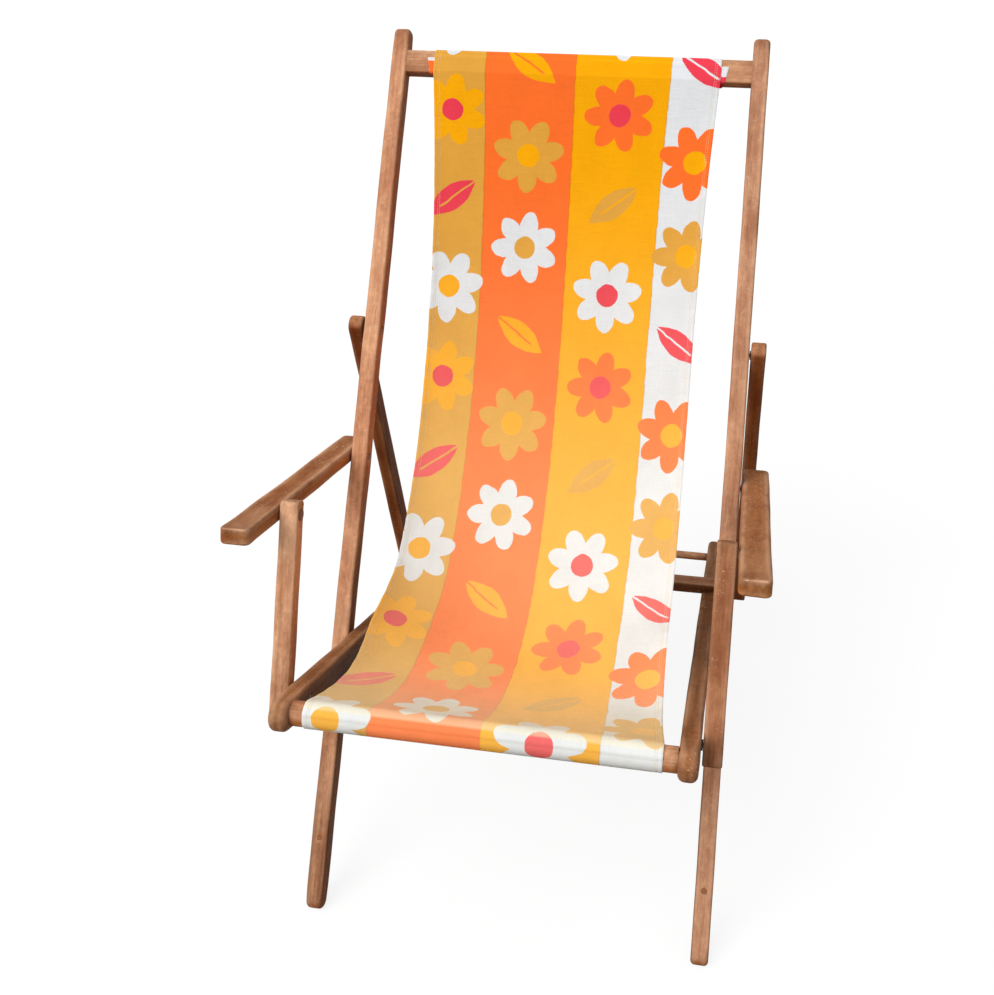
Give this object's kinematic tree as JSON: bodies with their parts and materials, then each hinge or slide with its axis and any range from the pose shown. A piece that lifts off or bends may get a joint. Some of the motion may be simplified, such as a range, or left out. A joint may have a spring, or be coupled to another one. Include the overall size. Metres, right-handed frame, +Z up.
{
  "type": "deck chair",
  "caption": "Folding wooden deck chair with armrests: a canvas sling hangs from a top rail to a round front rail, and a notched prop holds it open.",
  "frame": {"origin": "on the floor, under the middle of the open chair's bounding box", "axes": "+Z up, the chair's front faces -Y, its left side seen from the front is -X"},
  "size_m": [0.646, 1.0906, 1.1185],
  "materials": {
    "frame_wood": "oiled hardwood, worn satin",
    "arm_wood": "oiled hardwood, weathered on top",
    "prop_wood": "oiled hardwood, darker",
    "plug_wood": "end-grain plug",
    "canvas": "printed cotton canvas, matt",
    "steel": "dulled zinc-plated steel"
  },
  "bodies": {
    "main_frame": {"main_rail_left": "frame_wood", "main_rail_right": "frame_wood", "top_rail": "frame_wood", "leg_plugs": "plug_wood", "sling": "canvas", "prop_pivot_bolts": "steel", "prop_pivot_washers": "steel", "prop_pivot_nuts": "steel", "arm_pivot_bolts": "steel", "arm_pivot_washers": "steel", "arm_pivot_nuts": "steel"},
    "seat_frame": {"seat_rail_left": "frame_wood", "seat_rail_right": "frame_wood", "front_rail": "frame_wood", "rear_dowel": "frame_wood", "seat_pivot_bolts": "steel", "seat_pivot_washers": "steel", "seat_pivot_nuts": "steel", "post_pivot_bolts": "steel", "post_pivot_washers": "steel", "post_pivot_nuts": "steel"},
    "prop": {"prop_rail_left": "prop_wood", "prop_rail_right": "prop_wood", "prop_crossbar": "prop_wood"},
    "arm_left": {"armrest_left": "arm_wood", "arm_screw_left": "steel"},
    "arm_right": {"armrest_right": "arm_wood", "arm_screw_right": "steel"},
    "post_left": {"arm_post_left": "frame_wood"},
    "post_right": {"arm_post_right": "frame_wood"}
  },
  "joints": [
    {"name": "seat_fold", "type": "hinge", "parent": "main_frame", "child": "seat_frame", "pos_m": [0, -0.24709, 0.3224], "axis": [1, 0, 0], "range_deg": [0, 74], "deforming": ["sling"]},
    {"name": "prop_swing", "type": "hinge", "parent": "main_frame", "child": "prop", "pos_m": [0, -0.01514, 0.71617], "axis": [1, 0, 0], "range_deg": [0, 118.5]},
    {"name": "arm_left_swing", "type": "hinge", "parent": "main_frame", "child": "arm_left", "pos_m": [0, -0.11107, 0.55332], "axis": [1, 0, 0], "range_deg": [0, 66.8]},
    {"name": "arm_right_swing", "type": "hinge", "parent": "main_frame", "child": "arm_right", "pos_m": [0, -0.11107, 0.55332], "axis": [1, 0, 0], "range_deg": [0, 66.8]},
    {"name": "post_left_swing", "type": "hinge", "parent": "seat_frame", "child": "post_left", "pos_m": [0, -0.46467, 0.40795], "axis": [1, 0, 0], "range_deg": [-81.1, 0]},
    {"name": "post_right_swing", "type": "hinge", "parent": "seat_frame", "child": "post_right", "pos_m": [0, -0.46467, 0.40795], "axis": [1, 0, 0], "range_deg": [-81.1, 0]}
  ],
  "couplings": [
    {"joint": "prop_swing", "follows": "seat_fold", "ratio": 1.6},
    {"joint": "arm_left_swing", "follows": "seat_fold", "ratio": 0.902},
    {"joint": "arm_right_swing", "follows": "seat_fold", "ratio": 0.902},
    {"joint": "post_left_swing", "follows": "seat_fold", "ratio": -1.095},
    {"joint": "post_right_swing", "follows": "seat_fold", "ratio": -1.095}
  ]
}
